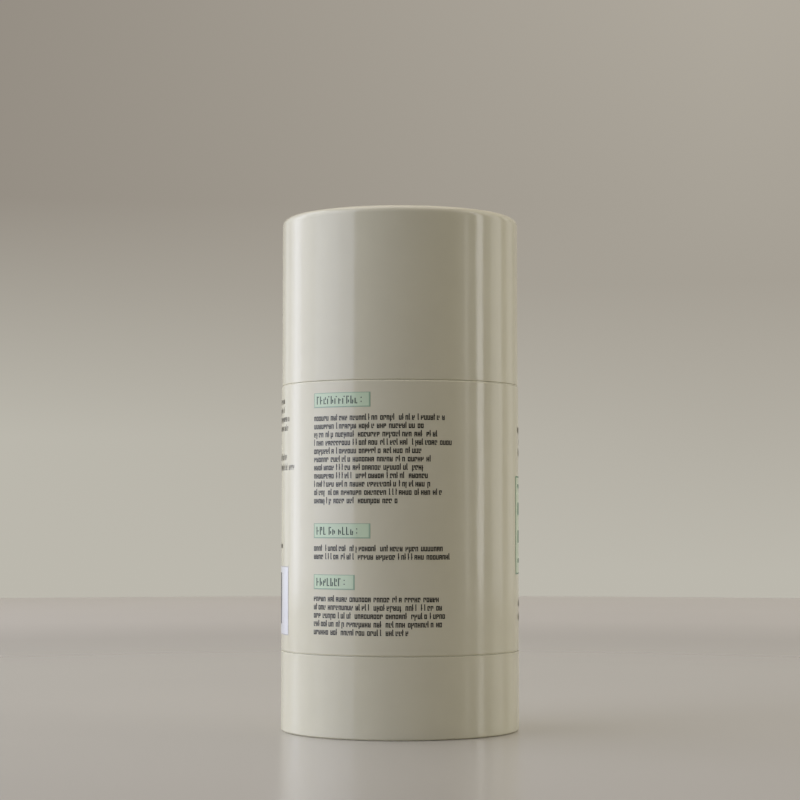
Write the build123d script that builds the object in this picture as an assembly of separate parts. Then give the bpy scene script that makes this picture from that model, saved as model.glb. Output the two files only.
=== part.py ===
"""A round twist-up deodorant stick: a double-walled pack with a pull-off cap and a full-width turning base.

A glossy outer sleeve hides a plain inner barrel, whose neck stands up into the cap. The base turns a coarse
left-hand screw that is held in the barrel's floor. The elevator is the nut on that screw. Ribs in the bore stop
it turning, so it rises when the base is turned clockwise seen from below, and carries the stick up the neck.

Millimetres. +Z is up, the Z axis is the axis of the pack, and Z = 0 is the plane that the base stands on.
"""

from build123d import *

import os
from math import cos, pi, sin

# Outside of the pack
BODY_DIAMETER = 50.0  # outer sleeve and base
CAP_INSET = 0.12  # the cap is a hair slimmer than the sleeve, radially
BASE_HEIGHT = 16.6
SLEEVE_HEIGHT = 55.1
CAP_HEIGHT = 35.3
SEAM_GAP = 0.2  # open joint line above and below the sleeve
CAP_EDGE_RADIUS = 1.5  # round of the cap's top edge
RIM_RADIUS = 0.15  # broken edges along both joint lines
FOOT_RADIUS = 0.45  # round of the base's lower edge

# Cap
CAP_WALL = 1.6
CAP_ROOF = 1.8
CAP_INNER_RADIUS = 1.0  # round inside the roof
CAP_RIB_COUNT = 8
CAP_RIB_WIDTH = 0.9
CAP_RIB_LENGTH = 9.0
CAP_RIB_START = 1.2  # from the mouth to the foot of each rib
CAP_FIT = 0.05  # ribs to the bead on the neck, radially

# Outer sleeve
SLEEVE_WALL = 1.7
SLEEVE_LIP_HEIGHT = 1.5  # inward lip that hides the barrel's shoulder
SLEEVE_LIP_CLEARANCE = 0.1  # lip to the bead that it was slid over
SLEEVE_FIT = 0.05  # sleeve to the barrel's lands, radially
SNAP_DEPTH = 0.3  # bead on the barrel that the sleeve snaps over
SNAP_HEIGHT = 1.2
SNAP_FROM_END = 3.0  # sleeve's lower edge to the bead

# Inner barrel
BARREL_WALL = 1.5
BARREL_LAND = 0.65  # how far the lands stand out of the barrel's wall
LAND_HEIGHT = 1.5
NECK_WALL = 1.2
NECK_HEIGHT = 8.5  # above the sleeve
NECK_BEAD = 0.3
NECK_BEAD_HEIGHT = 1.4
NECK_BEAD_FROM_TOP = 3.0
NECK_RIM_RADIUS = 0.4
SPIGOT_LENGTH = 9.0  # how far the barrel reaches down into the base
SPIGOT_CLEARANCE = 0.4  # spigot's land to the inside of the base
BARREL_FLOOR = 1.6
BARREL_FLOOR_HEIGHT = 5.5  # spigot's lower end to the underside of the floor
KEY_COUNT = 4  # ribs in the bore that stop the elevator turning
KEY_WIDTH = 1.2
KEY_DEPTH = 0.7
KEY_BELOW_RIM = 2.5

# Base
BASE_WALL = 1.5
BASE_FLOOR = 1.5
FOOT_RECESS = 0.6  # hollow under the base, inside the ring that it stands on
FOOT_RING_WIDTH = 2.6
SOCKET_WALL = 2.2
SOCKET_FLOOR = 0.6
BASE_RIB_COUNT = 6
BASE_RIB_WIDTH = 1.0
BASE_RIB_HEIGHT = 3.2

# Screw
SCREW_LEAD = 4.0
SCREW_CORE_RADIUS = 2.6
SCREW_CREST_RADIUS = 4.0
CREST_WIDTH = 1.0  # along the axis
ROOT_WIDTH = 2.2
SCREW_BELOW_RIM = 5.0  # neck's rim to the screw's tip
SCREW_TIP_HEIGHT = 1.2
THRUST_RADIUS = 7.0
THRUST_HEIGHT = 1.4
THRUST_PLAY = 0.1  # flange to the barrel's floor
SOCKET_PLAY = 0.3  # base's socket to the underside of the barrel's floor
JOURNAL_RADIUS = 5.0
JOURNAL_FIT = 0.08
DRIVE_ACROSS_FLATS = 7.0
DRIVE_FIT = 0.04
THREAD_RELIEF = 0.9  # plain core between the flange and the thread

# Elevator
PISTON_CLEARANCE = 0.25  # elevator and stick to the bore
ELEVATOR_PLAY = 0.5  # elevator to the thrust flange, in its lowest place
ELEVATOR_DISC = 1.8
ELEVATOR_SKIRT = 4.0  # height of the wiping rim above the disc
ELEVATOR_SKIRT_WALL = 1.1
HUB_WALL = 1.6
HUB_LENGTH = 10.0
NUT_CLEARANCE = 0.2  # to the screw, radially
NUT_BACKLASH = 0.3  # to the screw, along the axis
FIN_COUNT = 4  # fins that key the stick to the elevator
FIN_WIDTH = 1.2
FIN_LENGTH = 6.5
FIN_HEIGHT = 6.0

# Stick and its seal
DOME_HEIGHT = 5.0
STICK_BELOW_RIM = 0.5  # neck's rim to the edge of the dome
STICK_HOLE_CLEARANCE = 0.4  # cast hole to the crest of the screw
SEAL_WALL = 0.7
SEAL_FIT = 0.05
SEAL_FLANGE = 0.8
SEAL_RIM_CLEARANCE = 0.1  # flange to the neck's rim
SEAL_FINGER_EDGE = 0.2  # how far the flange stands out past the neck

# Heights and radii that follow from those
body_radius = BODY_DIAMETER / 2
cap_radius = body_radius - CAP_INSET
sleeve_bottom = BASE_HEIGHT + SEAM_GAP
sleeve_top = sleeve_bottom + SLEEVE_HEIGHT
cap_bottom = sleeve_top + SEAM_GAP
cap_top = cap_bottom + CAP_HEIGHT

sleeve_bore = body_radius - SLEEVE_WALL
land_radius = sleeve_bore - SLEEVE_FIT
barrel_radius = land_radius - BARREL_LAND
bore_radius = barrel_radius - BARREL_WALL
neck_radius = bore_radius + NECK_WALL
bead_radius = neck_radius + NECK_BEAD
lip_bottom = sleeve_top - SLEEVE_LIP_HEIGHT
neck_top = sleeve_top + NECK_HEIGHT
barrel_bottom = BASE_HEIGHT - SPIGOT_LENGTH
floor_bottom = barrel_bottom + BARREL_FLOOR_HEIGHT
floor_top = floor_bottom + BARREL_FLOOR

base_bore = body_radius - BASE_WALL
base_floor_top = FOOT_RECESS + BASE_FLOOR
socket_top = floor_bottom - SOCKET_PLAY
socket_floor = base_floor_top + SOCKET_FLOOR
drive_corner_radius = DRIVE_ACROSS_FLATS / 2 / cos(pi / 6)
socket_radius = drive_corner_radius + SOCKET_WALL

thrust_bottom = floor_top + THRUST_PLAY
thrust_top = thrust_bottom + THRUST_HEIGHT
thread_bottom = thrust_top + THREAD_RELIEF
screw_top = neck_top - SCREW_BELOW_RIM
thread_top = screw_top - SCREW_TIP_HEIGHT

elevator_bottom = thrust_top + ELEVATOR_PLAY
disc_top = elevator_bottom + ELEVATOR_DISC
piston_radius = bore_radius - PISTON_CLEARANCE
nut_radius = SCREW_CREST_RADIUS + NUT_CLEARANCE
hub_radius = nut_radius + HUB_WALL
hub_top = elevator_bottom + HUB_LENGTH

dome_edge = neck_top - STICK_BELOW_RIM
dome_top = dome_edge + DOME_HEIGHT
dome_radius = (piston_radius**2 + DOME_HEIGHT**2) / (2 * DOME_HEIGHT)
dome_centre = dome_top - dome_radius


# Working values that shape nothing by themselves
RIM_SEARCH = 0.01  # how near an edge must be to count as the rim that is asked for
FLANK_STEPS = 4  # spans along a thread's flank


def turned(*outline):
    """A full turn about Z of a closed outline of (radius, height) points."""
    return revolve(Plane.XZ * make_face(Polyline(*outline, close=True)), Axis.Z)


def disc(radius, bottom, top):
    """A plain disc or rod on the axis."""
    return Pos(0, 0, bottom) * extrude(Circle(radius), top - bottom)


def around(count, shape, start=0.0):
    """Copies of a shape, evenly spaced about Z."""
    return [Rot(0, 0, start + 360 * n / count) * shape for n in range(count)]


def radial_bar(inner, outer, width, bottom, top):
    """A bar with flat sides that runs outward along +X."""
    return Pos((inner + outer) / 2, 0, (bottom + top) / 2) * Box(outer - inner, width, top - bottom)


def rim_edges(shape, radius, height):
    """The full circles of that radius at that height."""
    return [
        edge
        for edge in shape.edges().filter_by(GeomType.CIRCLE)
        if abs(edge.radius - radius) < RIM_SEARCH and abs(edge.arc_center.Z - height) < RIM_SEARCH
    ]


def screw_section(core, crest, crest_width, root_width):
    """One slice of a single-start trapezoidal thread: crest arc, two flanks and core arc."""

    def point(radius, angle):
        return (radius * cos(angle), radius * sin(angle))

    crest_half = pi * crest_width / SCREW_LEAD
    root_half = pi * root_width / SCREW_LEAD
    shares = [n / FLANK_STEPS for n in range(FLANK_STEPS + 1)]
    flank = [
        (crest + (core - crest) * share, crest_half + (root_half - crest_half) * share) for share in shares
    ]
    left = [point(radius, angle) for radius, angle in flank]
    right = [(x, -y) for x, y in left]
    crest_arc = ThreePointArc(right[0], (crest, 0), left[0])
    core_arc = ThreePointArc(left[-1], (-core, 0), right[-1])
    return make_face(crest_arc + Spline(*left) + core_arc + Spline(*reversed(right)))


def threaded_rod(core, crest, crest_width, root_width, bottom, top):
    """A left-hand threaded rod. Its phase is the same at any one height, wherever it starts."""
    turn = -360 / SCREW_LEAD
    section = Pos(0, 0, bottom) * (
        Rot(0, 0, turn * (bottom - thread_bottom)) * screw_section(core, crest, crest_width, root_width)
    )
    return Solid.extrude_linear_with_rotation(
        section.face(), center=(0, 0, bottom), normal=(0, 0, top - bottom), angle=turn * (top - bottom)
    )


def dome_solid(sphere_radius, cylinder_radius, bottom):
    """A rod with a domed top, on the stick's own sphere centre."""
    rod = disc(cylinder_radius, bottom, dome_centre + sphere_radius)
    return rod & (Pos(0, 0, dome_centre) * Sphere(sphere_radius))


def make_cap():
    inner = cap_radius - CAP_WALL
    roof = cap_top - CAP_ROOF
    shell = disc(cap_radius, cap_bottom, cap_top)
    shell = fillet(rim_edges(shell, cap_radius, cap_top), CAP_EDGE_RADIUS)
    shell = fillet(rim_edges(shell, cap_radius, cap_bottom), RIM_RADIUS)
    hollow = disc(inner, cap_bottom, roof)
    hollow = fillet(rim_edges(hollow, inner, roof), CAP_INNER_RADIUS)
    foot = cap_bottom + CAP_RIB_START
    rib_start = bead_radius + CAP_FIT
    rib = radial_bar(rib_start, inner + CAP_WALL / 2, CAP_RIB_WIDTH, foot, foot + CAP_RIB_LENGTH)
    return (shell - hollow) + around(CAP_RIB_COUNT, rib)


def make_outer_sleeve():
    tube = disc(body_radius, sleeve_bottom, sleeve_top)
    tube = fillet(rim_edges(tube, body_radius, sleeve_top), RIM_RADIUS)
    tube = fillet(rim_edges(tube, body_radius, sleeve_bottom), RIM_RADIUS)
    tube -= disc(sleeve_bore, sleeve_bottom, lip_bottom)
    tube -= disc(bead_radius + SLEEVE_LIP_CLEARANCE, lip_bottom, sleeve_top)
    bead = snap_heights()
    groove_radius = land_radius + SNAP_DEPTH + SLEEVE_FIT
    groove = disc(groove_radius, bead[0] - SLEEVE_FIT, bead[1] + SLEEVE_FIT)
    return tube - (groove - disc(barrel_radius, bead[0] - SLEEVE_FIT, bead[1] + SLEEVE_FIT))


def snap_heights():
    """Lower and upper side of the bead that holds the sleeve on the barrel."""
    low = sleeve_bottom + SNAP_FROM_END
    return low, low + SNAP_HEIGHT


def make_inner_barrel():
    tube = disc(barrel_radius, barrel_bottom, lip_bottom)
    low, high = snap_heights()
    tube += disc(land_radius, lip_bottom - LAND_HEIGHT, lip_bottom)
    tube += disc(land_radius, low - LAND_HEIGHT, high + LAND_HEIGHT)
    tube += disc(land_radius + SNAP_DEPTH, low, high)
    guide_radius = base_bore - SPIGOT_CLEARANCE
    tube += disc(guide_radius, floor_bottom, floor_top)
    tube += disc(neck_radius, lip_bottom, neck_top)
    bead_top = neck_top - NECK_BEAD_FROM_TOP
    bead_bottom = bead_top - NECK_BEAD_HEIGHT
    middle = (bead_bottom + bead_top) / 2
    tube += turned(
        (barrel_radius - BARREL_WALL / 2, bead_bottom),
        (neck_radius, bead_bottom),
        (bead_radius, middle - NECK_BEAD / 2),
        (bead_radius, middle + NECK_BEAD / 2),
        (neck_radius, bead_top),
        (barrel_radius - BARREL_WALL / 2, bead_top),
    )
    tube = fillet(rim_edges(tube, neck_radius, neck_top), NECK_RIM_RADIUS)
    tube -= disc(bore_radius, floor_top, neck_top)
    tube -= disc(bore_radius, barrel_bottom, floor_bottom)
    tube -= disc(JOURNAL_RADIUS + JOURNAL_FIT, floor_bottom, floor_top)
    key = radial_bar(
        bore_radius - KEY_DEPTH,
        bore_radius + NECK_WALL / 2,
        KEY_WIDTH,
        floor_top,
        neck_top - KEY_BELOW_RIM,
    )
    return tube + around(KEY_COUNT, key)


def make_base():
    cup = disc(body_radius, 0, BASE_HEIGHT)
    cup = fillet(rim_edges(cup, body_radius, 0), FOOT_RADIUS)
    cup = fillet(rim_edges(cup, body_radius, BASE_HEIGHT), RIM_RADIUS)
    cup -= disc(base_bore, base_floor_top, BASE_HEIGHT)
    cup -= disc(body_radius - FOOT_RING_WIDTH, 0, FOOT_RECESS)
    cup += disc(socket_radius, base_floor_top, socket_top)
    rib = radial_bar(
        drive_corner_radius + SOCKET_WALL / 2,
        base_bore + BASE_WALL / 2,
        BASE_RIB_WIDTH,
        base_floor_top,
        base_floor_top + BASE_RIB_HEIGHT,
    )
    cup += around(BASE_RIB_COUNT, rib)
    socket = RegularPolygon(DRIVE_ACROSS_FLATS / 2 + DRIVE_FIT, 6, major_radius=False)
    return cup - Pos(0, 0, socket_floor) * extrude(socket, socket_top - socket_floor)


def make_screw():
    rod = threaded_rod(
        SCREW_CORE_RADIUS, SCREW_CREST_RADIUS, CREST_WIDTH, ROOT_WIDTH, thread_bottom, thread_top
    )
    drive = RegularPolygon(DRIVE_ACROSS_FLATS / 2, 6, major_radius=False)
    foot = socket_floor + DRIVE_FIT
    shank = Pos(0, 0, foot) * extrude(drive, socket_top - foot)
    journal = disc(JOURNAL_RADIUS, socket_top, thrust_bottom)
    flange = disc(THRUST_RADIUS, thrust_bottom, thrust_top)
    relief = disc(SCREW_CORE_RADIUS, thrust_top, thread_bottom)
    tip = Pos(0, 0, (thread_top + screw_top) / 2) * Cone(
        SCREW_CORE_RADIUS, SCREW_CORE_RADIUS / 2, screw_top - thread_top
    )
    return rod + relief + flange + journal + shank + tip


def keyways(bottom, top):
    """Slots that let the elevator and the stick pass the ribs in the bore."""
    slot = radial_bar(
        bore_radius - KEY_DEPTH - PISTON_CLEARANCE,
        bore_radius,
        KEY_WIDTH + 2 * PISTON_CLEARANCE,
        bottom,
        top,
    )
    return around(KEY_COUNT, slot)


def make_elevator():
    body = disc(piston_radius, elevator_bottom, disc_top + ELEVATOR_SKIRT)
    skirt_bore = piston_radius - KEY_DEPTH - ELEVATOR_SKIRT_WALL
    body -= disc(skirt_bore, disc_top, disc_top + ELEVATOR_SKIRT)
    body += disc(hub_radius, elevator_bottom, hub_top)
    fin_start = nut_radius + HUB_WALL / 2
    fin = radial_bar(fin_start, hub_radius + FIN_LENGTH, FIN_WIDTH, disc_top, disc_top + FIN_HEIGHT)
    body += around(FIN_COUNT, fin, start=180 / FIN_COUNT)
    for slot in keyways(elevator_bottom, disc_top + ELEVATOR_SKIRT):
        body -= slot
    screw_space = threaded_rod(
        SCREW_CORE_RADIUS + NUT_CLEARANCE,
        nut_radius,
        CREST_WIDTH + NUT_BACKLASH,
        ROOT_WIDTH + NUT_BACKLASH,
        elevator_bottom - SCREW_LEAD / 4,
        hub_top + SCREW_LEAD / 4,
    )
    return body - screw_space


def make_stick(elevator):
    stick = dome_solid(dome_radius, piston_radius, disc_top)
    stick -= disc(SCREW_CREST_RADIUS + STICK_HOLE_CLEARANCE, disc_top, screw_top + STICK_HOLE_CLEARANCE)
    stick -= disc(hub_radius, disc_top, hub_top)
    for slot in keyways(disc_top, dome_top):
        stick -= slot
    return stick - elevator


def make_seal():
    outside = dome_solid(dome_radius + SEAL_FIT + SEAL_WALL, piston_radius, dome_edge)
    inside = Pos(0, 0, dome_centre) * Sphere(dome_radius + SEAL_FIT)
    flange_bottom = neck_top + SEAL_RIM_CLEARANCE
    flange = disc(neck_radius + SEAL_FINGER_EDGE, flange_bottom, flange_bottom + SEAL_FLANGE)
    return (outside + flange) - inside - disc(bore_radius, dome_edge, flange_bottom - SEAL_RIM_CLEARANCE)


def main():
    elevator = make_elevator()
    parts = {
        "cap": make_cap(),
        "outer_sleeve": make_outer_sleeve(),
        "inner_barrel": make_inner_barrel(),
        "base_dial": make_base(),
        "lift_screw": make_screw(),
        "elevator": elevator,
        "deodorant_stick": make_stick(elevator),
        "inner_seal": make_seal(),
    }
    os.makedirs("parts", exist_ok=True)
    for name, shape in parts.items():
        export_step(shape, f"parts/{name}.step")



main()
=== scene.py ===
import random
from math import cos, pi, radians, sin, tan

import bpy
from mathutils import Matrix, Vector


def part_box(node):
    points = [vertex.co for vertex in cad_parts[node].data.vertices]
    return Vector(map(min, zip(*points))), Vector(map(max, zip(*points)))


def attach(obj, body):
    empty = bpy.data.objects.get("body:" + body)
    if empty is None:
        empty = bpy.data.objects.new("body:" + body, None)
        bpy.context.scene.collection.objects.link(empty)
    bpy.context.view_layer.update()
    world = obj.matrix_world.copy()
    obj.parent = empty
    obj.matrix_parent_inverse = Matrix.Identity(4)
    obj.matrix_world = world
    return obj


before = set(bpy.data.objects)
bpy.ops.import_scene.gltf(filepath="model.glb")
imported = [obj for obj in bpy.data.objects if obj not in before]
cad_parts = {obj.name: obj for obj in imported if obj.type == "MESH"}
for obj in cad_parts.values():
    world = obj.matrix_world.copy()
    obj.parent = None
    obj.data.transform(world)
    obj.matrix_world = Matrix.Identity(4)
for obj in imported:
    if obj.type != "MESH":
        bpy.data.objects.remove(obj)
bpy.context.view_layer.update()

MM = 0.001
scene = bpy.context.scene
scene.view_settings.view_transform = "Standard"
scene.cycles.blur_glossy = 0.0  # the shell mirrors the floor, and the floor the lights


# ---------------------------------------------------------------- materials

NOISE_LOW, NOISE_HIGH = 0.3, 0.7  # nearly all values of a noise node lie between these
RIPPLE_SCALE = 150.0  # slow waves, some 7 mm long
GRAIN_SCALE = 2600.0  # fine grain, about 0.4 mm


class Nodes:
    """A short way to add and link nodes in one material."""

    def __init__(self, tree):
        self.tree = tree

    def add(self, kind, **settings):
        node = self.tree.nodes.new(kind)
        for name, value in settings.items():
            setattr(node, name, value)
        return node

    def link(self, source, target):
        self.tree.links.new(source, target)

    def place(self):
        return self.add("ShaderNodeTexCoord").outputs["Object"]

    def noise(self, place, scale, detail=2.0, stretch=None):
        node = self.add("ShaderNodeTexNoise")
        node.inputs["Scale"].default_value = scale
        node.inputs["Detail"].default_value = detail
        if stretch is not None:
            mapping = self.add("ShaderNodeMapping")
            mapping.inputs["Scale"].default_value = stretch
            self.link(place, mapping.inputs["Vector"])
            place = mapping.outputs["Vector"]
        self.link(place, node.inputs["Vector"])
        return node.outputs["Fac"]

    def ramp(self, value, stops):
        node = self.add("ShaderNodeValToRGB")
        ramp = node.color_ramp
        while len(ramp.elements) < len(stops):
            ramp.elements.new(0.5)
        for element, (place, colour) in zip(ramp.elements, stops):
            element.position = place
            element.color = (*colour, 1.0)
        self.link(value, node.inputs["Fac"])
        return node.outputs["Color"]

    def noisy_colour(self, value, colour, vary):
        """The colour, darker and lighter by the share vary as a noise value falls and rises."""
        stops = [(NOISE_LOW, shade(colour, 1.0 - vary)), (NOISE_HIGH, shade(colour, 1.0 + vary))]
        return self.ramp(value, stops)

    def fit(self, value, from_low, from_high, to_low=0.0, to_high=1.0):
        node = self.add("ShaderNodeMapRange")
        node.inputs["From Min"].default_value = from_low
        node.inputs["From Max"].default_value = from_high
        node.inputs["To Min"].default_value = to_low
        node.inputs["To Max"].default_value = to_high
        self.link(value, node.inputs["Value"])
        return node.outputs["Result"]

    def bump(self, height, distance, under=None):
        node = self.add("ShaderNodeBump")
        node.inputs["Distance"].default_value = distance
        node.inputs["Strength"].default_value = 1.0
        self.link(height, node.inputs["Height"])
        if under is not None:
            self.link(under, node.inputs["Normal"])
        return node.outputs["Normal"]

    def maths(self, operation, first, second):
        node = self.add("ShaderNodeMath", operation=operation)
        self.link(first, node.inputs[0])
        self.link(second, node.inputs[1])
        return node.outputs["Value"]

    def diffuse(self, colour):
        node = self.add("ShaderNodeBsdfDiffuse")
        node.inputs["Color"].default_value = (*colour, 1.0)
        return node.outputs["BSDF"]

    def mix_shaders(self, factor, first, second):
        node = self.add("ShaderNodeMixShader")
        self.link(factor, node.inputs["Fac"])
        self.link(first, node.inputs[1])
        self.link(second, node.inputs[2])
        return node.outputs["Shader"]


def shade(colour, factor):
    return tuple(c * factor for c in colour)


def grey(value):
    return (value, value, value)


def new_material(name):
    material = bpy.data.materials.new(name)
    material.use_nodes = True
    return material, Nodes(material.node_tree), material.node_tree.nodes["Principled BSDF"]


def plastic(name, colour, roughness, ripple, grain, vary=0.02, sss=0.0, stretch=None):
    """Moulded plastic, wax or ink: a slow ripple and a fine grain, which are bump heights in metres."""
    material, nodes, shader = new_material(name)
    place = nodes.place()
    slow = nodes.noise(place, RIPPLE_SCALE, stretch=stretch)
    fine = nodes.noise(place, GRAIN_SCALE)
    nodes.link(nodes.noisy_colour(slow, colour, vary), shader.inputs["Base Color"])
    nodes.link(nodes.fit(slow, NOISE_LOW, NOISE_HIGH, *roughness), shader.inputs["Roughness"])
    nodes.link(nodes.bump(fine, grain, under=nodes.bump(slow, ripple)), shader.inputs["Normal"])
    if sss:
        shader.inputs["Subsurface Weight"].default_value = sss
        shader.inputs["Subsurface Radius"].default_value = (1.0, 0.9, 0.7)
        shader.inputs["Subsurface Scale"].default_value = 2 * MM
    return material


SHELL = (0.742, 0.700, 0.515)
shell = plastic("shell_plastic", SHELL, (0.10, 0.15), 0.035 * MM, 0.0015 * MM, vary=0.012)
barrel_white = plastic("barrel_plastic", (0.70, 0.69, 0.66), (0.28, 0.40), 0.03 * MM, 0.004 * MM)
screw_white = plastic("screw_plastic", (0.66, 0.65, 0.62), (0.30, 0.42), 0.02 * MM, 0.004 * MM, vary=0.03)
lift_white = plastic("elevator_plastic", (0.68, 0.67, 0.64), (0.30, 0.42), 0.03 * MM, 0.004 * MM, vary=0.03)
wax = plastic(
    "stick_wax",
    (0.80, 0.78, 0.69),
    (0.38, 0.55),
    0.12 * MM,
    0.012 * MM,
    vary=0.035,
    sss=0.25,
    stretch=(1.0, 1.0, 0.35),
)
seal = plastic("seal_film", (0.78, 0.78, 0.75), (0.12, 0.22), 0.06 * MM, 0.003 * MM, sss=0.15)

NODE_MATERIALS = {
    "cap": shell,
    "outer_sleeve": shell,
    "base_dial": shell,
    "inner_barrel": barrel_white,
    "lift_screw": screw_white,
    "elevator": lift_white,
    "deodorant_stick": wax,
    "inner_seal": seal,
}
for node_name, material in NODE_MATERIALS.items():
    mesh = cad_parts[node_name].data
    mesh.materials.clear()
    mesh.materials.append(material)


def ink(name, colour, roughness=(0.22, 0.34), vary=0.06):
    return plastic(name, colour, roughness, 0.01 * MM, 0.003 * MM, vary)


dark_ink = ink("dark_print", (0.020, 0.020, 0.016))
green_dark_ink = ink("heading_print", (0.022, 0.055, 0.030))
grey_ink = ink("side_print_ink", (0.20, 0.18, 0.13))
tag_ink = ink("green_print", (0.640, 0.765, 0.530), (0.12, 0.20), 0.02)
tag_edge_ink = ink("green_edge", (0.36, 0.50, 0.34), (0.18, 0.28), 0.05)
white_ink = ink("white_print", (0.83, 0.83, 0.81), (0.12, 0.20), 0.015)
edge_ink = ink("grey_edge", (0.52, 0.50, 0.46))
panel_dark = ink("panel_print", (0.06, 0.22, 0.10))


# ---------------------------------------------------------------- print on the sleeve
# Angles are in degrees from the front, towards +X. Heights and widths are in mm.

sleeve_low, sleeve_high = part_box("outer_sleeve")
RADIUS = (sleeve_high.x - sleeve_low.x) / 2
DEGREE = radians(1.0) * RADIUS / MM  # mm along the surface for one degree

# The print stands proud of the sleeve in thin layers, in metres.
INK_UNDER = 0.002 * MM
INK_TOP = 0.020 * MM
EDGE_LAYER = (INK_TOP, INK_TOP + 0.012 * MM)
HEADING_LAYER = (INK_TOP, INK_TOP + 0.020 * MM)

STEP = 0.8 * MM  # longest straight side of a patch
ROUND_UP = 0.499


def width_in_degrees(mm):
    return mm / DEGREE


def add_object(name, points, faces):
    mesh = bpy.data.meshes.new(name)
    mesh.from_pydata(points, [], faces)
    mesh.update()
    made = bpy.data.objects.new(name, mesh)
    scene.collection.objects.link(made)
    return made


def add_piece(name, points, faces, material):
    """A piece of the object that keeps still on the barrel."""
    made = add_object(name, points, faces)
    made.data.materials.append(material)
    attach(made, "barrel")


class Print:
    """One mesh of thin raised patches that lie round the sleeve."""

    def __init__(self):
        self.points = []
        self.faces = []

    def point(self, angle, height, lift):
        a = radians(angle)
        r = RADIUS + lift
        self.points.append((r * sin(a), -r * cos(a), height * MM))

    def patch(self, left, right, low, high, under=INK_UNDER, top=INK_TOP):
        """A closed slab between two angles and two heights."""
        width = radians(right - left) * RADIUS
        columns = max(1, round(width / STEP + ROUND_UP))
        rows = max(1, round((high - low) * MM / STEP + ROUND_UP)) if columns > 1 else 1
        start = len(self.points)
        for lift in (under, top):
            for j in range(rows + 1):
                height = low + (high - low) * j / rows
                for i in range(columns + 1):
                    self.point(left + (right - left) * i / columns, height, lift)
        across = columns + 1
        layer = across * (rows + 1)

        def at(i, j, k):
            return start + k * layer + j * across + i

        for j in range(rows):
            for i in range(columns):
                self.faces.append((at(i, j, 1), at(i + 1, j, 1), at(i + 1, j + 1, 1), at(i, j + 1, 1)))
                self.faces.append((at(i, j, 0), at(i, j + 1, 0), at(i + 1, j + 1, 0), at(i + 1, j, 0)))
        for i in range(columns):
            self.faces.append((at(i, 0, 0), at(i + 1, 0, 0), at(i + 1, 0, 1), at(i, 0, 1)))
            self.faces.append((at(i, rows, 1), at(i + 1, rows, 1), at(i + 1, rows, 0), at(i, rows, 0)))
        for j in range(rows):
            self.faces.append((at(0, j, 1), at(0, j + 1, 1), at(0, j + 1, 0), at(0, j, 0)))
            self.faces.append(
                (at(columns, j, 0), at(columns, j + 1, 0), at(columns, j + 1, 1), at(columns, j, 1))
            )

    def outline(self, left, right, low, high, top, bottom, left_side, right_side):
        """Four thin slabs inside the edges of a patch. The last four values are their widths."""
        self.patch(left, right, high - top, high, *EDGE_LAYER)
        self.patch(left, right, low, low + bottom, *EDGE_LAYER)
        self.patch(left, left + width_in_degrees(left_side), low, high, *EDGE_LAYER)
        self.patch(right - width_in_degrees(right_side), right, low, high, *EDGE_LAYER)

    def piece(self, name, material):
        add_piece(name, self.points, self.faces, material)


# Small print: made-up marks, whose kind is a random value from 0 to 1.
STROKE = 0.19
X_HEIGHT = 0.92
TALL = 0.36  # what a tall mark stands above the others
MARK_PITCH = 0.66
WORD_GAP = 0.72  # in mark pitches
LINE_PITCH = 1.67
BAR_ABOVE = 0.03
TALL_BELOW = 0.16
NARROW_BELOW = 0.18
HANGING_BELOW = 0.22
SECOND_BAR_ABOVE = 0.50


def greek_line(target, left, width, middle, scale=1.0):
    """A line of made-up marks that spell nothing: uprights and small bars, in groups as long as words."""
    bar = STROKE * (0.75 + 0.25 * scale)
    stroke = width_in_degrees(bar)
    step = width_in_degrees(MARK_PITCH * scale)
    height = X_HEIGHT * scale
    tall = TALL * scale
    low = middle - height / 2
    end = left + width_in_degrees(width) - step * 0.6

    def crossbar(angle, body, places):
        base = low + text_rng.choice(places) * (height - bar)
        target.patch(angle + stroke, angle + body, base, base + bar)

    angle = left
    while angle < end:
        marks = text_rng.randint(3, 9)
        for _ in range(marks):
            if angle > end:
                break
            kind = text_rng.random()
            up = tall if kind < TALL_BELOW else 0.0
            down = tall * 0.9 if TALL_BELOW <= kind < HANGING_BELOW else 0.0
            body = step * (0.42 if kind < NARROW_BELOW else 0.6)
            target.patch(angle, angle + stroke, low - down, low + height + up)
            if kind > BAR_ABOVE:
                crossbar(angle, body, (0.0, 0.5, 1.0))
            if kind > NARROW_BELOW:
                foot = low + text_rng.choice((0.0, 0.0, 0.45)) * height
                side = angle + body - stroke * 0.2
                target.patch(side, side + stroke, foot, low + height)
            if kind > SECOND_BAR_ABOVE:
                crossbar(angle, body, (0.0, 1.0))
            angle += step
        angle += step * WORD_GAP


text_rng = random.Random(11)
small_print = Print()
headings = Print()
tags = Print()
tag_edges = Print()

COLUMN = -44.2  # left edge of the tags and the text under them
TAG_HEIGHT = 3.0
TAG_EDGE = 0.22
HEADING_INSET = 0.75
HEADING_HEIGHT = 1.6
HEADING_STROKE = 0.22
HEADING_BAR = 0.2
HEADING_TICK = 0.55
HEADING_PITCH = 0.92


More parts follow.
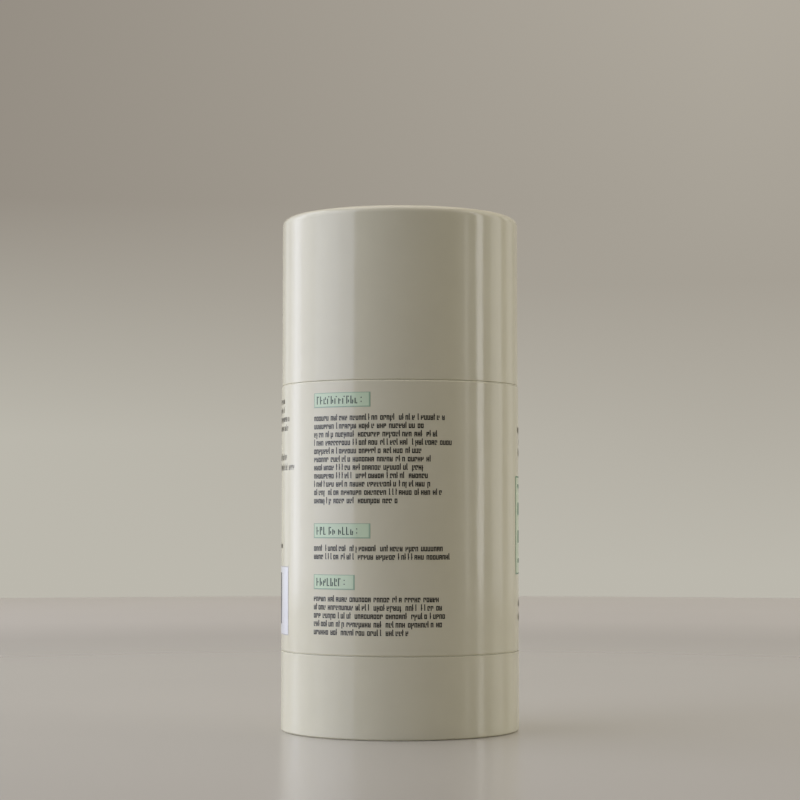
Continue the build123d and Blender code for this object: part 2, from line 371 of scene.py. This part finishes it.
def tag(middle, width, marks, gaps=()):
    """A small pale green tag with a darker edge, and a short row of heading marks on it."""
    right = COLUMN + width_in_degrees(width)
    low = middle - TAG_HEIGHT / 2
    high = middle + TAG_HEIGHT / 2
    tags.patch(COLUMN, right, low, high)
    tag_edges.outline(COLUMN, right, low, high, TAG_EDGE * 0.5, TAG_EDGE, TAG_EDGE * 0.6, TAG_EDGE * 1.5)
    stroke = width_in_degrees(HEADING_STROKE)
    step = width_in_degrees(HEADING_PITCH)
    base = middle - HEADING_HEIGHT / 2
    angle = COLUMN + width_in_degrees(HEADING_INSET)
    for mark in range(marks):
        height = HEADING_HEIGHT * text_rng.choice((1.0, 1.0, 0.7))
        headings.patch(angle, angle + stroke, base, base + height, *HEADING_LAYER)
        foot = base + text_rng.choice((0.0, 0.42, 0.86)) * HEADING_HEIGHT
        headings.patch(angle + stroke * 1.3, angle + step * 0.62, foot, foot + HEADING_BAR, *HEADING_LAYER)
        if text_rng.random() < 0.5:
            foot = base + text_rng.choice((0.15, 0.55)) * HEADING_HEIGHT
            side = angle + step * 0.42
            headings.patch(side, side + stroke, foot, foot + HEADING_TICK, *HEADING_LAYER)
        angle += step * (1.5 if mark in gaps else 1.0)
    angle += step * 0.4
    for dot in (0.25, 0.75):
        foot = base + dot * HEADING_HEIGHT - HEADING_BAR / 2
        headings.patch(angle, angle + stroke, foot, foot + HEADING_BAR, *HEADING_LAYER)


def block(first, widths):
    """Lines of small print under each other. first is the middle of the first line."""
    for row, width in enumerate(widths):
        greek_line(small_print, COLUMN, width, first - row * LINE_PITCH)


tag(68.1, 13.3, 11)
tag(41.7, 13.3, 9, (2, 4))
tag(31.4, 10.0, 7)
block(64.4, (28.5, 24.1, 27.6, 30.0, 23.8, 25.8, 24.5, 24.9, 25.8, 27.8, 19.0))
block(38.1, (28.5, 29.8))
block(27.95, (27.3, 28.2, 28.7, 28.2, 21.1))


# ---------------------------------------------------------------- lips in the two seams

SEAM_CLEARANCE = 0.04
LIP_OUTSIDE = 0.20  # from the sleeve's surface in to the lip
LIP_INSIDE = 0.90
LIP_SINK = 0.01  # what a lip reaches into the sleeve's end
LIP_SIDES = 240


def seam_lip(name, low, high):
    """A thin square ring that makes a seam a shallow groove."""
    inner = RADIUS - LIP_INSIDE * MM
    outer = RADIUS - LIP_OUTSIDE * MM
    corners = [(inner, low * MM), (outer, low * MM), (outer, high * MM), (inner, high * MM)]
    points = []
    faces = []
    for k in range(LIP_SIDES):
        a = 2 * pi * k / LIP_SIDES
        points.extend((r * cos(a), r * sin(a), z) for r, z in corners)
    for k in range(LIP_SIDES):
        n = (k + 1) % LIP_SIDES
        for j in range(4):
            m = (j + 1) % 4
            faces.append((k * 4 + j, n * 4 + j, n * 4 + m, k * 4 + m))
    add_piece(name, points, faces, shell)


seam_lip("upper_seam_lip", sleeve_high.z / MM - LIP_SINK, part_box("cap")[0].z / MM - SEAM_CLEARANCE)
seam_lip("lower_seam_lip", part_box("base_dial")[1].z / MM + SEAM_CLEARANCE, sleeve_low.z / MM + LIP_SINK)


# ---------------------------------------------------------------- left side: a text column and the bar box

side_print = Print()
BACK_LEFT = -110.0  # left end of what stands there

for right, middle, scale in (
    (-74.0, 68.5, 1.0),
    (-74.0, 66.6, 1.0),
    (-66.0, 64.75, 1.0),
    (-67.5, 62.85, 1.0),
    (-69.0, 56.8, 1.1),
    (-60.5, 54.7, 1.1),
    (-78.0, 38.4, 0.9),
):
    greek_line(side_print, BACK_LEFT, (right - BACK_LEFT) * DEGREE, middle, scale)

box_plate = Print()
box_edge = Print()
box_bars = Print()
BOX_RIGHT = -67.0
BOX_LOW, BOX_HIGH = 20.1, 34.3
BOX_EDGE = 0.2
BARS_LEFT_MARGIN = 2.2
BARS_RIGHT_MARGIN = 5.6
BARS_FOOT = 2.2
BARS_HEAD = 1.4


def bar_box():
    """A white box with a thin edge and plain upright bars of random widths."""
    box_plate.patch(BACK_LEFT, BOX_RIGHT, BOX_LOW, BOX_HIGH)
    box_edge.outline(BACK_LEFT, BOX_RIGHT, BOX_LOW, BOX_HIGH, BOX_EDGE, BOX_EDGE, BOX_EDGE, BOX_EDGE)
    bar_rng = random.Random(5)
    angle = BACK_LEFT + width_in_degrees(BARS_LEFT_MARGIN)
    while angle < BOX_RIGHT - width_in_degrees(BARS_RIGHT_MARGIN):
        thick = width_in_degrees(bar_rng.choice((0.2, 0.2, 0.35, 0.5)))
        box_bars.patch(angle, angle + thick, BOX_LOW + BARS_FOOT, BOX_HIGH - BARS_HEAD, *EDGE_LAYER)
        angle += thick + width_in_degrees(bar_rng.choice((0.22, 0.3, 0.45, 0.6)))


bar_box()


# ---------------------------------------------------------------- right side: the front panel and text

panel = Print()
panel_edge = Print()
panel_marks = Print()
PANEL_LEFT, PANEL_RIGHT = 73.8, 156.0
PANEL_LOW, PANEL_HIGH = 32.6, 53.0
PANEL_SIDE_EDGE = 0.35
PANEL_END_EDGE = 0.3
PANEL_MARGIN = 5.0  # degrees
TEXT_MARGIN = 6.0  # degrees


def front_panel():
    """A green panel with a darker edge and rows of plain bars, with gaps as between words."""
    panel.patch(PANEL_LEFT, PANEL_RIGHT, PANEL_LOW, PANEL_HIGH)
    panel_edge.outline(
        PANEL_LEFT,
        PANEL_RIGHT,
        PANEL_LOW,
        PANEL_HIGH,
        PANEL_END_EDGE,
        PANEL_END_EDGE,
        PANEL_SIDE_EDGE,
        PANEL_SIDE_EDGE,
    )
    panel_rng = random.Random(23)
    right = PANEL_RIGHT - PANEL_MARGIN
    for middle, height in ((50.9, 0.9), (46.2, 2.6), (40.4, 2.6), (35.4, 0.9)):
        step = width_in_degrees(height * 0.8)
        angle = PANEL_LEFT + PANEL_MARGIN
        while angle < right - step * 2:
            end = min(right, angle + step * panel_rng.uniform(2.2, 5.5))
            panel_marks.patch(angle, end, middle - height / 2, middle + height / 2, *EDGE_LAYER)
            angle = end + step * 0.9


front_panel()

for left, middle, scale in (
    (79.0, 62.7, 1.3),
    (84.0, 60.3, 1.0),
    (81.0, 57.85, 1.3),
    (80.0, 26.4, 1.2),
    (79.0, 23.5, 1.2),
):
    greek_line(side_print, left, (PANEL_RIGHT - TEXT_MARGIN - left) * DEGREE, middle, scale)

small_print.piece("small_print", dark_ink)
headings.piece("tag_headings", green_dark_ink)
tags.piece("label_tags", tag_ink)
tag_edges.piece("label_tag_edges", tag_edge_ink)
side_print.piece("side_small_print", grey_ink)
box_plate.piece("bar_box", white_ink)
box_edge.piece("bar_box_edge", edge_ink)
box_bars.piece("bar_box_bars", dark_ink)
panel.piece("front_panel", tag_ink)
panel_edge.piece("front_panel_edge", panel_dark)
panel_marks.piece("front_panel_marks", panel_dark)


# ---------------------------------------------------------------- floor and backdrop

FLOOR_RADIUS = 0.76
WALL_RADIUS = 1.0
WALL_TOP = 1.6
TURNS = 128
BEND_STEPS = 16


def swept(name, profile, material, close_centre=False):
    """A surface of revolution about z from (radius, height) pairs."""
    points = []
    faces = []
    for radius, height in profile:
        for k in range(TURNS):
            a = 2 * pi * k / TURNS
            points.append((radius * cos(a), radius * sin(a), height))
    for j in range(len(profile) - 1):
        for k in range(TURNS):
            n = (k + 1) % TURNS
            faces.append((j * TURNS + k, j * TURNS + n, (j + 1) * TURNS + n, (j + 1) * TURNS + k))
    if close_centre:
        faces.append(tuple(range(TURNS))[::-1])
    made = add_object(name, points, faces)
    made.data.materials.append(material)
    for polygon in made.data.polygons:
        polygon.use_smooth = True


def floor_with_painted_light():
    """Satin near the object and matt further out. Its colour carries painted light: lighter further out,
    towards the bend, and a little lighter under the object.
    """
    material, nodes, shader = new_material("floor_with_painted_light")
    place = nodes.place()
    length = nodes.add("ShaderNodeVectorMath", operation="LENGTH")
    nodes.link(place, length.inputs[0])
    radius = length.outputs["Value"]
    slow = nodes.noise(place, 6.0, 3.0)
    painted_light_tint = nodes.add("ShaderNodeMix", data_type="RGBA", blend_type="MULTIPLY")
    painted_light_tint.inputs["Factor"].default_value = 1.0
    nodes.link(nodes.noisy_colour(slow, (0.460, 0.436, 0.381), 0.01), painted_light_tint.inputs["A"])
    # Painted light: the floor's colour is multiplied by these factors, which rise further out, to 1.42 at the
    # bend, and a little under the object.
    painted_light_by_radius = [(0.0, 1.05), (0.14, 1.0), (0.35, 1.0), (0.48, 1.22), (FLOOR_RADIUS, 1.42)]
    nodes.link(nodes.ramp(radius, [(distance, grey(value)) for distance, value in painted_light_by_radius]), painted_light_tint.inputs["B"])
    nodes.link(painted_light_tint.outputs["Result"], shader.inputs["Base Color"])
    nodes.link(nodes.ramp(radius, [(0.22, grey(0.22)), (0.55, grey(0.60))]), shader.inputs["Roughness"])
    nodes.link(nodes.bump(slow, 0.1 * MM), shader.inputs["Normal"])
    return material


WALL_SEEN = 0.40  # the camera sees the wall up to about this height
# The colours of the painted light on the backdrop's glow: pale near the floor, mid and dark higher up.
WALL_PALE = (0.50, 0.48, 0.42)
WALL_MID = (0.38, 0.35, 0.30)
WALL_DARK = (0.30, 0.27, 0.23)


def backdrop_painted_light():
    """Glows, though it is no lamp, with a painted gradient of light and shade, lighter at the foot and darker
    higher up, which the camera sees, and the gloss at the back. To other rays it is a dull wall that lights
    the object, painted nearly black at the front as painted shade.
    """
    material, nodes, shader = new_material("backdrop_painted_light")
    nodes.tree.nodes.remove(shader)
    split = nodes.add("ShaderNodeSeparateXYZ")
    nodes.link(nodes.place(), split.inputs["Vector"])
    up = nodes.fit(split.outputs["Z"], 0.0, WALL_SEEN)
    across = nodes.fit(split.outputs["X"], -0.28, 0.22)
    at_back = nodes.fit(split.outputs["Y"], -0.1, 0.4)

    # Painted light and shade: the glow is lighter near the floor and darker higher up, darker still on the
    # left.
    colour = nodes.add("ShaderNodeMix", data_type="RGBA")
    left_side = nodes.ramp(up, [(0.24, WALL_PALE), (0.64, WALL_DARK)])
    right_side = nodes.ramp(up, [(0.03, WALL_PALE), (0.50, WALL_MID), (1.0, shade(WALL_MID, 1.12))])
    nodes.link(across, colour.inputs["Factor"])
    nodes.link(left_side, colour.inputs["A"])
    nodes.link(right_side, colour.inputs["B"])
    glow = nodes.add("ShaderNodeEmission")
    nodes.link(colour.outputs["Result"], glow.inputs["Color"])

    # Painted shade: to other rays the front of the wall is nearly black, grey 0.02, for the dark side of the
    # room behind the camera. The back is a dull wall that the lamps light.
    dull_with_painted_dark_front = nodes.mix_shaders(at_back, nodes.diffuse(grey(0.02)), nodes.diffuse((0.30, 0.285, 0.25)))
    path = nodes.add("ShaderNodeLightPath")
    glossy = nodes.maths("MULTIPLY", path.outputs["Is Glossy Ray"], at_back)
    seen = nodes.maths("MAXIMUM", path.outputs["Is Camera Ray"], glossy)
    seen = nodes.maths("MAXIMUM", seen, path.outputs["Is Transmission Ray"])
    surface = nodes.mix_shaders(seen, dull_with_painted_dark_front, glow.outputs["Emission"])
    nodes.link(surface, nodes.tree.nodes["Material Output"].inputs["Surface"])
    return material


BEND = WALL_RADIUS - FLOOR_RADIUS
bend = [(FLOOR_RADIUS, 0.0)]
for k in range(1, BEND_STEPS + 1):
    turn = pi / 2 * k / BEND_STEPS
    bend.append((FLOOR_RADIUS + BEND * sin(turn), BEND * (1 - cos(turn))))
swept("floor", [(0.02, 0.0), (0.2, 0.0), (0.5, 0.0), (FLOOR_RADIUS, 0.0)], floor_with_painted_light(), close_centre=True)
swept("backdrop", bend + [(WALL_RADIUS, 0.6), (WALL_RADIUS, WALL_TOP)], backdrop_painted_light())


# ---------------------------------------------------------------- light

LIGHT_DISTANCE = FLOOR_RADIUS - 0.02  # on the flat of the floor, so that the shell shows the lights' feet
LIGHT_HIGH = 0.99
BACK_DISTANCE = 0.9
TOP_HEIGHT = 1.2
LEVEL = 0.96  # one share for every lamp
KEY = (0.93, 0.985, 1.21)
WHITE = (1.0, 1.0, 1.0)
TOP = (1.09, 0.98, 0.94)


def area_light(name, width, height, radiance, colour, location, rotation):
    """An area light of the given radiance, hidden from the camera."""
    lamp = bpy.data.lights.new(name, "AREA")
    lamp.shape = "RECTANGLE"
    lamp.size = width
    lamp.size_y = height
    lamp.color = colour
    lamp.energy = radiance * LEVEL * pi * width * height
    made = bpy.data.objects.new(name, lamp)
    scene.collection.objects.link(made)
    made.location = location
    made.rotation_euler = rotation
    made.visible_camera = False
    return made


def side_light(name, azimuth, width, radiance, colour=WHITE, high=LIGHT_HIGH, distance=LIGHT_DISTANCE):
    """An upright panel that faces the object. Its azimuth runs from the camera's side, at 0, to +X, at 90."""
    a = radians(azimuth)
    across = 2 * distance * tan(radians(width / 2))
    place = (distance * sin(a), -distance * cos(a), high / 2)
    return area_light(name, across, high, radiance, colour, place, (pi / 2, 0.0, a))


side_light("key_rim", -138.0, 20.0, 0.40, KEY)
side_light("key_feather", -127.0, 5.0, 1.0, KEY)
side_light("key_edge", -117.0, 14.0, 2.2, KEY)
side_light("key_middle", -98.5, 22.0, 1.55, KEY)
side_light("key_main", -74.0, 28.0, 2.25, KEY)
side_light("key_front", -52.0, 16.0, 1.85, KEY)
side_light("fill_thin", 66.5, 5.0, 1.1)
side_light("fill_strip", 82.3, 8.2, 3.2)
side_light("fill_panel", 106.5, 17.0, 0.8)
side_light("fill_rim", 133.0, 14.0, 0.32)
for k, azimuth in enumerate((65.0, 85.0, 105.0)):
    side_light(f"fill_wide_{k}", azimuth, 20.0, 0.28)
for k, azimuth in enumerate((135.0, 165.0, 195.0, 225.0)):
    lamp = side_light(f"back_{k}", azimuth, 30.0, 0.42, high=TOP_HEIGHT, distance=BACK_DISTANCE)
    lamp.visible_glossy = False  # the backdrop itself is what the gloss shows there
area_light("top", 1.2, 1.2, 1.38, TOP, (0.0, 0.0, TOP_HEIGHT), (0.0, 0.0, 0.0))

world = bpy.data.worlds.new("studio")
world.use_nodes = True
scene.world = world
sky = world.node_tree.nodes["Background"]
sky.inputs["Color"].default_value = (1.0, 0.97, 0.9, 1.0)
sky.inputs["Strength"].default_value = 0.05


# ---------------------------------------------------------------- camera

CAMERA_PLACE = (0.0, -0.4578, 0.0446)
CAMERA_TILT = 93.08  # 90 is level

camera_data = bpy.data.cameras.new("camera")
camera_data.lens = 97.38
camera_data.sensor_width = 36.0
camera = bpy.data.objects.new("camera", camera_data)
scene.collection.objects.link(camera)
camera.location = CAMERA_PLACE
camera.rotation_euler = (radians(CAMERA_TILT), 0.0, 0.0)
scene.camera = camera
